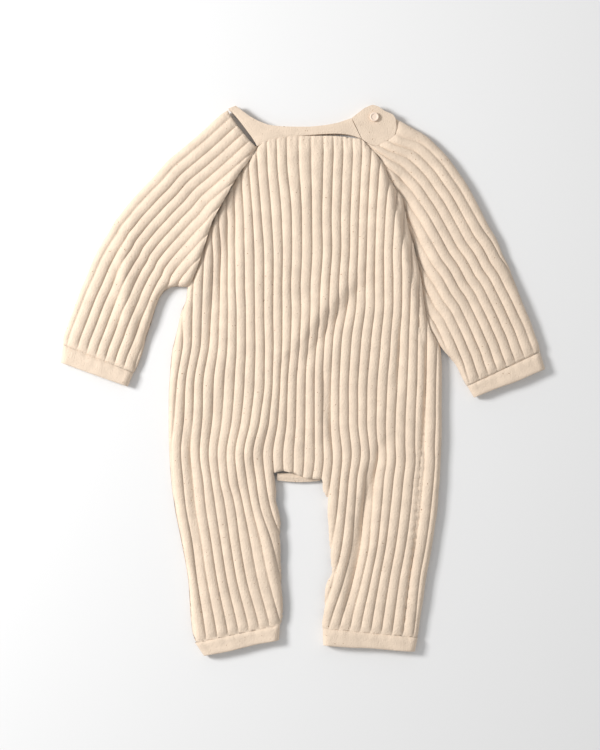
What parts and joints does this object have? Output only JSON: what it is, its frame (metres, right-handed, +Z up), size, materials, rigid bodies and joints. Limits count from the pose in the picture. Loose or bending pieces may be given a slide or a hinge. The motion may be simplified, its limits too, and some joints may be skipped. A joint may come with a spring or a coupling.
{
  "type": "baby romper",
  "caption": "Long-sleeved, long-legged baby romper in wide rib knit with raglan sleeves, a plain neckband with a button at the shoulder and narrow cuffs, laid flat",
  "frame": {"origin": "centre of the laid garment on the surface it lies on", "axes": "+X to the wearer's left across the sleeves, +Y up the garment from the legs to the neck, +Z up away from the surface"},
  "size_m": [0.451, 0.5119, 0.0115],
  "materials": {
    "rib_knit": "cream wide rib knit, matt",
    "plain_knit": "cream plain knit, matt",
    "button": "cream button, satin"
  },
  "bodies": {
    "root": {"front_panel": "rib_knit", "back_panel": "rib_knit", "sleeve_right": "rib_knit", "sleeve_left": "rib_knit", "neckband_front": "plain_knit", "neckband_side": "plain_knit", "neckband_back": "plain_knit", "cuff_sleeve_right": "plain_knit", "cuff_sleeve_left": "plain_knit", "cuff_leg_right": "plain_knit", "cuff_leg_left": "plain_knit", "crotch_gusset": "plain_knit", "neck_button": "button"}
  },
  "joints": []
}
